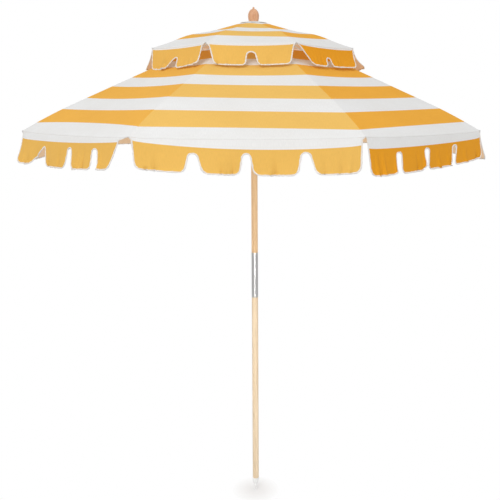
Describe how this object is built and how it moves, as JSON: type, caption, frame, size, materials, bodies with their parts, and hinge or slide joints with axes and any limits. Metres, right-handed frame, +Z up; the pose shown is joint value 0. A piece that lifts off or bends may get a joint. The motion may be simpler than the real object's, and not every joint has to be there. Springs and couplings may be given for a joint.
{
  "type": "beach umbrella",
  "caption": "Two-tier beach umbrella: vented octagonal striped canopy with scalloped valances, wooden pole in two halves with a metal sleeve, and a ground spike.",
  "frame": {"origin": "tip of the ground spike, on the pole's axis", "axes": "+Z up along the pole; a gore of the canopy faces -Y and another faces +X"},
  "size_m": [1.889, 1.889, 2.359],
  "materials": {
    "pole_wood": "satin",
    "finial_wood": "satin",
    "spike_plastic": "satin",
    "hub_plastic": "satin",
    "cap_white": "matte",
    "sleeve_steel": "satin",
    "wire_steel": "satin",
    "rib_metal": "satin",
    "canopy_cloth": "matte",
    "trim_cloth": "matte"
  },
  "bodies": {
    "lower_pole_assembly": {"lower_pole": "pole_wood", "ground_spike": "spike_plastic", "joint_sleeve": "sleeve_steel", "sleeve_rivets": "sleeve_steel"},
    "upper_pole_assembly": {"upper_pole": "pole_wood", "crown": "hub_plastic", "crown_ring": "wire_steel", "top_cap": "cap_white", "finial": "finial_wood"},
    "rib_1_arm": {"rib_1": "rib_metal", "vent_arm_1": "rib_metal"},
    "rib_2_arm": {"rib_2": "rib_metal", "vent_arm_2": "rib_metal"},
    "rib_3_arm": {"rib_3": "rib_metal", "vent_arm_3": "rib_metal"},
    "rib_4_arm": {"rib_4": "rib_metal", "vent_arm_4": "rib_metal"},
    "rib_5_arm": {"rib_5": "rib_metal", "vent_arm_5": "rib_metal"},
    "rib_6_arm": {"rib_6": "rib_metal", "vent_arm_6": "rib_metal"},
    "rib_7_arm": {"rib_7": "rib_metal", "vent_arm_7": "rib_metal"},
    "rib_8_arm": {"rib_8": "rib_metal", "vent_arm_8": "rib_metal"},
    "stretcher_1_arm": {"stretcher_1": "rib_metal"},
    "stretcher_2_arm": {"stretcher_2": "rib_metal"},
    "stretcher_3_arm": {"stretcher_3": "rib_metal"},
    "stretcher_4_arm": {"stretcher_4": "rib_metal"},
    "stretcher_5_arm": {"stretcher_5": "rib_metal"},
    "stretcher_6_arm": {"stretcher_6": "rib_metal"},
    "stretcher_7_arm": {"stretcher_7": "rib_metal"},
    "stretcher_8_arm": {"stretcher_8": "rib_metal"},
    "runner_slider": {"runner": "hub_plastic", "runner_ring": "wire_steel"},
    "runner_screw": {"thumb_screw": "wire_steel"},
    "panel_1": {"canopy_panel_1": "canopy_cloth"},
    "panel_2": {"canopy_panel_2": "canopy_cloth"},
    "panel_3": {"canopy_panel_3": "canopy_cloth"},
    "panel_4": {"canopy_panel_4": "canopy_cloth"},
    "panel_5": {"canopy_panel_5": "canopy_cloth"},
    "panel_6": {"canopy_panel_6": "canopy_cloth"},
    "panel_7": {"canopy_panel_7": "canopy_cloth"},
    "panel_8": {"canopy_panel_8": "canopy_cloth"},
    "valance_1_hem": {"valance_1": "canopy_cloth"},
    "valance_2_hem": {"valance_2": "canopy_cloth"},
    "valance_3_hem": {"valance_3": "canopy_cloth"},
    "valance_4_hem": {"valance_4": "canopy_cloth"},
    "valance_5_hem": {"valance_5": "canopy_cloth"},
    "valance_6_hem": {"valance_6": "canopy_cloth"},
    "valance_7_hem": {"valance_7": "canopy_cloth"},
    "valance_8_hem": {"valance_8": "canopy_cloth"},
    "vent_valance_1_hem": {"vent_valance_1": "canopy_cloth"},
    "vent_valance_2_hem": {"vent_valance_2": "canopy_cloth"},
    "vent_valance_3_hem": {"vent_valance_3": "canopy_cloth"},
    "vent_valance_4_hem": {"vent_valance_4": "canopy_cloth"},
    "vent_valance_5_hem": {"vent_valance_5": "canopy_cloth"},
    "vent_valance_6_hem": {"vent_valance_6": "canopy_cloth"},
    "vent_valance_7_hem": {"vent_valance_7": "canopy_cloth"},
    "vent_valance_8_hem": {"vent_valance_8": "canopy_cloth"}
  },
  "joints": [
    {"name": "upper_pole_slide", "type": "slide", "parent": "lower_pole_assembly", "child": "upper_pole_assembly", "axis": [0, 0, 1], "range_m": [0, 0.105]},
    {"name": "rib_1_fold", "type": "hinge", "parent": "upper_pole_assembly", "child": "rib_1_arm", "pos_m": [0.02587, 0.01072, 2.274], "axis": [-0.3827, 0.9239, 0], "range_deg": [0, 61]},
    {"name": "rib_2_fold", "type": "hinge", "parent": "upper_pole_assembly", "child": "rib_2_arm", "pos_m": [0.01072, 0.02587, 2.274], "axis": [-0.9239, 0.3827, 0], "range_deg": [0, 61]},
    {"name": "rib_3_fold", "type": "hinge", "parent": "upper_pole_assembly", "child": "rib_3_arm", "pos_m": [-0.01072, 0.02587, 2.274], "axis": [-0.9239, -0.3827, 0], "range_deg": [0, 61]},
    {"name": "rib_4_fold", "type": "hinge", "parent": "upper_pole_assembly", "child": "rib_4_arm", "pos_m": [-0.02587, 0.01072, 2.274], "axis": [-0.3827, -0.9239, 0], "range_deg": [0, 61]},
    {"name": "rib_5_fold", "type": "hinge", "parent": "upper_pole_assembly", "child": "rib_5_arm", "pos_m": [-0.02587, -0.01072, 2.274], "axis": [0.3827, -0.9239, 0], "range_deg": [0, 61]},
    {"name": "rib_6_fold", "type": "hinge", "parent": "upper_pole_assembly", "child": "rib_6_arm", "pos_m": [-0.01072, -0.02587, 2.274], "axis": [0.9239, -0.3827, 0], "range_deg": [0, 61]},
    {"name": "rib_7_fold", "type": "hinge", "parent": "upper_pole_assembly", "child": "rib_7_arm", "pos_m": [0.01072, -0.02587, 2.274], "axis": [0.9239, 0.3827, 0], "range_deg": [0, 61]},
    {"name": "rib_8_fold", "type": "hinge", "parent": "upper_pole_assembly", "child": "rib_8_arm", "pos_m": [0.02587, -0.01072, 2.274], "axis": [0.3827, 0.9239, 0], "range_deg": [0, 61]},
    {"name": "stretcher_1_pivot", "type": "hinge", "parent": "rib_1_arm", "child": "stretcher_1_arm", "pos_m": [0.41731, 0.17286, 2.07057], "axis": [-0.3827, 0.9239, 0], "range_deg": [-122, 0]},
    {"name": "stretcher_2_pivot", "type": "hinge", "parent": "rib_2_arm", "child": "stretcher_2_arm", "pos_m": [0.17286, 0.41731, 2.07057], "axis": [-0.9239, 0.3827, 0], "range_deg": [-122, 0]},
    {"name": "stretcher_3_pivot", "type": "hinge", "parent": "rib_3_arm", "child": "stretcher_3_arm", "pos_m": [-0.17286, 0.41731, 2.07057], "axis": [-0.9239, -0.3827, 0], "range_deg": [-122, 0]},
    {"name": "stretcher_4_pivot", "type": "hinge", "parent": "rib_4_arm", "child": "stretcher_4_arm", "pos_m": [-0.41731, 0.17286, 2.07057], "axis": [-0.3827, -0.9239, 0], "range_deg": [-122, 0]},
    {"name": "stretcher_5_pivot", "type": "hinge", "parent": "rib_5_arm", "child": "stretcher_5_arm", "pos_m": [-0.41731, -0.17286, 2.07057], "axis": [0.3827, -0.9239, 0], "range_deg": [-122, 0]},
    {"name": "stretcher_6_pivot", "type": "hinge", "parent": "rib_6_arm", "child": "stretcher_6_arm", "pos_m": [-0.17286, -0.41731, 2.07057], "axis": [0.9239, -0.3827, 0], "range_deg": [-122, 0]},
    {"name": "stretcher_7_pivot", "type": "hinge", "parent": "rib_7_arm", "child": "stretcher_7_arm", "pos_m": [0.17286, -0.41731, 2.07057], "axis": [0.9239, 0.3827, 0], "range_deg": [-122, 0]},
    {"name": "stretcher_8_pivot", "type": "hinge", "parent": "rib_8_arm", "child": "stretcher_8_arm", "pos_m": [0.41731, -0.17286, 2.07057], "axis": [0.3827, 0.9239, 0], "range_deg": [-122, 0]},
    {"name": "runner_pivot", "type": "hinge", "parent": "stretcher_1_arm", "child": "runner_slider", "pos_m": [0.02587, 0.01072, 1.86714], "axis": [-0.3827, 0.9239, 0], "range_deg": [0, 61]},
    {"name": "thumb_screw_turn", "type": "hinge", "parent": "runner_slider", "child": "runner_screw", "pos_m": [0, -0.03, 1.83314], "axis": [0, -1, 0], "range_deg": [0, 180]},
    {"name": "panel_1_fold", "type": "hinge", "parent": "upper_pole_assembly", "child": "panel_1", "pos_m": [0.01838, 0.01838, 2.274], "axis": [-0.7071, 0.7071, 0], "range_deg": [0, 59.29], "deforming": ["canopy_panel_1"]},
    {"name": "panel_2_fold", "type": "hinge", "parent": "upper_pole_assembly", "child": "panel_2", "pos_m": [0, 0.026, 2.274], "axis": [-1, 0, 0], "range_deg": [0, 59.29], "deforming": ["canopy_panel_2"]},
    {"name": "panel_3_fold", "type": "hinge", "parent": "upper_pole_assembly", "child": "panel_3", "pos_m": [-0.01838, 0.01838, 2.274], "axis": [-0.7071, -0.7071, 0], "range_deg": [0, 59.29], "deforming": ["canopy_panel_3"]},
    {"name": "panel_4_fold", "type": "hinge", "parent": "upper_pole_assembly", "child": "panel_4", "pos_m": [-0.026, 0, 2.274], "axis": [0, -1, 0], "range_deg": [0, 59.29], "deforming": ["canopy_panel_4"]},
    {"name": "panel_5_fold", "type": "hinge", "parent": "upper_pole_assembly", "child": "panel_5", "pos_m": [-0.01838, -0.01838, 2.274], "axis": [0.7071, -0.7071, 0], "range_deg": [0, 59.29], "deforming": ["canopy_panel_5"]},
    {"name": "panel_6_fold", "type": "hinge", "parent": "upper_pole_assembly", "child": "panel_6", "pos_m": [0, -0.026, 2.274], "axis": [1, 0, 0], "range_deg": [0, 59.29], "deforming": ["canopy_panel_6"]},
    {"name": "panel_7_fold", "type": "hinge", "parent": "upper_pole_assembly", "child": "panel_7", "pos_m": [0.01838, -0.01838, 2.274], "axis": [0.7071, 0.7071, 0], "range_deg": [0, 59.29], "deforming": ["canopy_panel_7"]},
    {"name": "panel_8_fold", "type": "hinge", "parent": "upper_pole_assembly", "child": "panel_8", "pos_m": [0.026, 0, 2.274], "axis": [0, 1, 0], "range_deg": [0, 59.29], "deforming": ["canopy_panel_8"]},
    {"name": "valance_1_hang", "type": "hinge", "parent": "panel_1", "child": "valance_1_hem", "pos_m": [0.65361, 0.65361, 1.8178], "axis": [-0.7071, 0.7071, 0], "range_deg": [-59.29, 0], "deforming": ["valance_1"]},
    {"name": "valance_2_hang", "type": "hinge", "parent": "panel_2", "child": "valance_2_hem", "pos_m": [0, 0.92434, 1.8178], "axis": [-1, 0, 0], "range_deg": [-59.29, 0], "deforming": ["valance_2"]},
    {"name": "valance_3_hang", "type": "hinge", "parent": "panel_3", "child": "valance_3_hem", "pos_m": [-0.65361, 0.65361, 1.8178], "axis": [-0.7071, -0.7071, 0], "range_deg": [-59.29, 0], "deforming": ["valance_3"]},
    {"name": "valance_4_hang", "type": "hinge", "parent": "panel_4", "child": "valance_4_hem", "pos_m": [-0.92434, 0, 1.8178], "axis": [0, -1, 0], "range_deg": [-59.29, 0], "deforming": ["valance_4"]},
    {"name": "valance_5_hang", "type": "hinge", "parent": "panel_5", "child": "valance_5_hem", "pos_m": [-0.65361, -0.65361, 1.8178], "axis": [0.7071, -0.7071, 0], "range_deg": [-59.29, 0], "deforming": ["valance_5"]},
    {"name": "valance_6_hang", "type": "hinge", "parent": "panel_6", "child": "valance_6_hem", "pos_m": [0, -0.92434, 1.8178], "axis": [1, 0, 0], "range_deg": [-59.29, 0], "deforming": ["valance_6"]},
    {"name": "valance_7_hang", "type": "hinge", "parent": "panel_7", "child": "valance_7_hem", "pos_m": [0.65361, -0.65361, 1.8178], "axis": [0.7071, 0.7071, 0], "range_deg": [-59.29, 0], "deforming": ["valance_7"]},
    {"name": "valance_8_hang", "type": "hinge", "parent": "panel_8", "child": "valance_8_hem", "pos_m": [0.92434, 0, 1.8178], "axis": [0, 1, 0], "range_deg": [-59.29, 0], "deforming": ["valance_8"]},
    {"name": "vent_valance_1_hang", "type": "hinge", "parent": "panel_1", "child": "vent_valance_1_hem", "pos_m": [0.30214, 0.30214, 2.1618], "axis": [-0.7071, 0.7071, 0], "range_deg": [-59.29, 0], "deforming": ["vent_valance_1"]},
    {"name": "vent_valance_2_hang", "type": "hinge", "parent": "panel_2", "child": "vent_valance_2_hem", "pos_m": [0, 0.42729, 2.1618], "axis": [-1, 0, 0], "range_deg": [-59.29, 0], "deforming": ["vent_valance_2"]},
    {"name": "vent_valance_3_hang", "type": "hinge", "parent": "panel_3", "child": "vent_valance_3_hem", "pos_m": [-0.30214, 0.30214, 2.1618], "axis": [-0.7071, -0.7071, 0], "range_deg": [-59.29, 0], "deforming": ["vent_valance_3"]},
    {"name": "vent_valance_4_hang", "type": "hinge", "parent": "panel_4", "child": "vent_valance_4_hem", "pos_m": [-0.42729, 0, 2.1618], "axis": [0, -1, 0], "range_deg": [-59.29, 0], "deforming": ["vent_valance_4"]},
    {"name": "vent_valance_5_hang", "type": "hinge", "parent": "panel_5", "child": "vent_valance_5_hem", "pos_m": [-0.30214, -0.30214, 2.1618], "axis": [0.7071, -0.7071, 0], "range_deg": [-59.29, 0], "deforming": ["vent_valance_5"]},
    {"name": "vent_valance_6_hang", "type": "hinge", "parent": "panel_6", "child": "vent_valance_6_hem", "pos_m": [0, -0.42729, 2.1618], "axis": [1, 0, 0], "range_deg": [-59.29, 0], "deforming": ["vent_valance_6"]},
    {"name": "vent_valance_7_hang", "type": "hinge", "parent": "panel_7", "child": "vent_valance_7_hem", "pos_m": [0.30214, -0.30214, 2.1618], "axis": [0.7071, 0.7071, 0], "range_deg": [-59.29, 0], "deforming": ["vent_valance_7"]},
    {"name": "vent_valance_8_hang", "type": "hinge", "parent": "panel_8", "child": "vent_valance_8_hem", "pos_m": [0.42729, 0, 2.1618], "axis": [0, 1, 0], "range_deg": [-59.29, 0], "deforming": ["vent_valance_8"]}
  ],
  "couplings": [
    {"joint": "rib_2_fold", "follows": "rib_1_fold", "ratio": 1},
    {"joint": "rib_3_fold", "follows": "rib_1_fold", "ratio": 1},
    {"joint": "rib_4_fold", "follows": "rib_1_fold", "ratio": 1},
    {"joint": "rib_5_fold", "follows": "rib_1_fold", "ratio": 1},
    {"joint": "rib_6_fold", "follows": "rib_1_fold", "ratio": 1},
    {"joint": "rib_7_fold", "follows": "rib_1_fold", "ratio": 1},
    {"joint": "rib_8_fold", "follows": "rib_1_fold", "ratio": 1},
    {"joint": "stretcher_1_pivot", "follows": "rib_1_fold", "ratio": -2},
    {"joint": "stretcher_2_pivot", "follows": "rib_1_fold", "ratio": -2},
    {"joint": "stretcher_3_pivot", "follows": "rib_1_fold", "ratio": -2},
    {"joint": "stretcher_4_pivot", "follows": "rib_1_fold", "ratio": -2},
    {"joint": "stretcher_5_pivot", "follows": "rib_1_fold", "ratio": -2},
    {"joint": "stretcher_6_pivot", "follows": "rib_1_fold", "ratio": -2},
    {"joint": "stretcher_7_pivot", "follows": "rib_1_fold", "ratio": -2},
    {"joint": "stretcher_8_pivot", "follows": "rib_1_fold", "ratio": -2},
    {"joint": "runner_pivot", "follows": "rib_1_fold", "ratio": 1},
    {"joint": "panel_1_fold", "follows": "rib_1_fold", "ratio": 0.972},
    {"joint": "panel_2_fold", "follows": "rib_1_fold", "ratio": 0.972},
    {"joint": "panel_3_fold", "follows": "rib_1_fold", "ratio": 0.972},
    {"joint": "panel_4_fold", "follows": "rib_1_fold", "ratio": 0.972},
    {"joint": "panel_5_fold", "follows": "rib_1_fold", "ratio": 0.972},
    {"joint": "panel_6_fold", "follows": "rib_1_fold", "ratio": 0.972},
    {"joint": "panel_7_fold", "follows": "rib_1_fold", "ratio": 0.972},
    {"joint": "panel_8_fold", "follows": "rib_1_fold", "ratio": 0.972},
    {"joint": "valance_1_hang", "follows": "rib_1_fold", "ratio": -0.972},
    {"joint": "valance_2_hang", "follows": "rib_1_fold", "ratio": -0.972},
    {"joint": "valance_3_hang", "follows": "rib_1_fold", "ratio": -0.972},
    {"joint": "valance_4_hang", "follows": "rib_1_fold", "ratio": -0.972},
    {"joint": "valance_5_hang", "follows": "rib_1_fold", "ratio": -0.972},
    {"joint": "valance_6_hang", "follows": "rib_1_fold", "ratio": -0.972},
    {"joint": "valance_7_hang", "follows": "rib_1_fold", "ratio": -0.972},
    {"joint": "valance_8_hang", "follows": "rib_1_fold", "ratio": -0.972},
    {"joint": "vent_valance_1_hang", "follows": "rib_1_fold", "ratio": -0.972},
    {"joint": "vent_valance_2_hang", "follows": "rib_1_fold", "ratio": -0.972},
    {"joint": "vent_valance_3_hang", "follows": "rib_1_fold", "ratio": -0.972},
    {"joint": "vent_valance_4_hang", "follows": "rib_1_fold", "ratio": -0.972},
    {"joint": "vent_valance_5_hang", "follows": "rib_1_fold", "ratio": -0.972},
    {"joint": "vent_valance_6_hang", "follows": "rib_1_fold", "ratio": -0.972},
    {"joint": "vent_valance_7_hang", "follows": "rib_1_fold", "ratio": -0.972},
    {"joint": "vent_valance_8_hang", "follows": "rib_1_fold", "ratio": -0.972}
  ]
}
